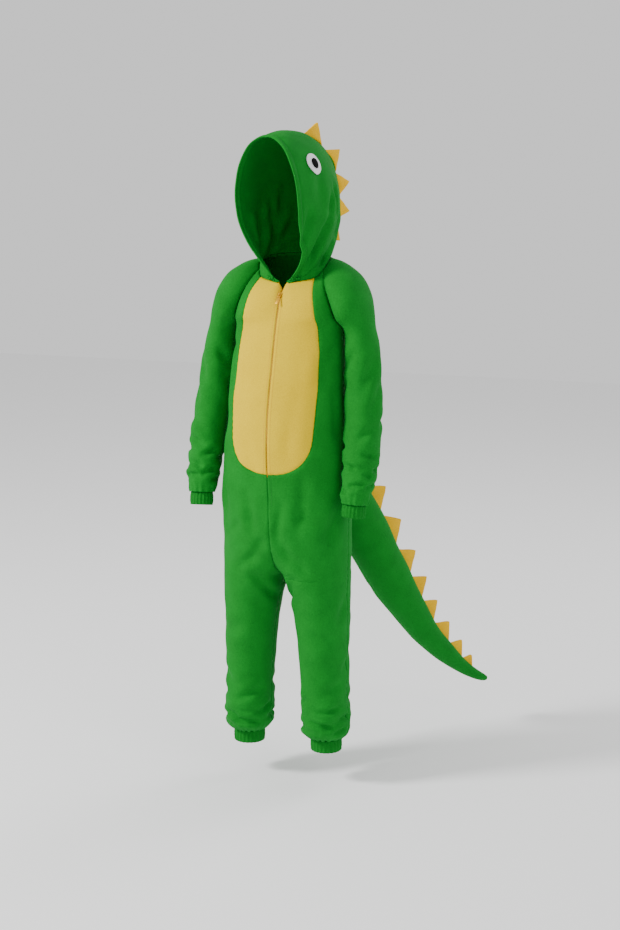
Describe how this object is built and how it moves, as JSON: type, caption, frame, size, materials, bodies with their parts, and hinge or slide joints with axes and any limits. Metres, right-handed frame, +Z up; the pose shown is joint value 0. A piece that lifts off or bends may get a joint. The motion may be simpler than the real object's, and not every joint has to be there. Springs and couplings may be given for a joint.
{
  "type": "dinosaur costume",
  "caption": "Child's hooded one-piece dinosaur costume with a yellow front panel, felt spikes, eyes on the hood and a long stuffed tail, in a standing worn pose.",
  "frame": {"origin": "on the body's axis at the height of the shoulders, where the wearer holds the costume up", "axes": "+Z up along the body, -Y to the front of the costume, +X to the wearer's left"},
  "size_m": [0.4671, 0.5618, 1.1917],
  "materials": {
    "green_fleece": "short-pile fleece with a soft sheen",
    "green_cuff": "fleece shirred with elastic",
    "yellow_fleece": "short-pile fleece, smooth",
    "spike_fleece": "brushed felt-like fleece",
    "eye_white": "white felt",
    "eye_black": "black felt",
    "zip_tape": "ochre woven tape and plastic coil",
    "zip_metal": "ochre enamel on metal"
  },
  "bodies": {
    "garment": {"front_left": "green_fleece", "front_right": "green_fleece", "back_left": "green_fleece", "back_right": "green_fleece", "sleeve_left": "green_fleece", "sleeve_right": "green_fleece", "hood_left": "green_fleece", "hood_right": "green_fleece", "tail": "green_fleece", "belly_left": "yellow_fleece", "belly_right": "yellow_fleece", "wrist_cuff_left": "green_cuff", "wrist_cuff_right": "green_cuff", "ankle_cuff_left": "green_cuff", "ankle_cuff_right": "green_cuff", "hood_spike_1": "spike_fleece", "hood_spike_2": "spike_fleece", "hood_spike_3": "spike_fleece", "hood_spike_4": "spike_fleece", "hood_spike_5": "spike_fleece", "tail_spike_1": "spike_fleece", "tail_spike_2": "spike_fleece", "tail_spike_3": "spike_fleece", "tail_spike_4": "spike_fleece", "tail_spike_5": "spike_fleece", "tail_spike_6": "spike_fleece", "tail_spike_7": "spike_fleece", "tail_spike_8": "spike_fleece", "eye_white_left": "eye_white", "eye_white_right": "eye_white", "eye_pupil_left": "eye_black", "eye_pupil_right": "eye_black", "zip": "zip_tape", "zip_slider": "zip_metal"},
    "zip_pull": {"zip_pull": "zip_metal"}
  },
  "joints": [
    {"name": "pull_hinge", "type": "hinge", "parent": "garment", "child": "zip_pull", "pos_m": [0.00998, -0.05792, -0.05482], "axis": [-1, 0, 0], "range_deg": [0, 150]}
  ]
}
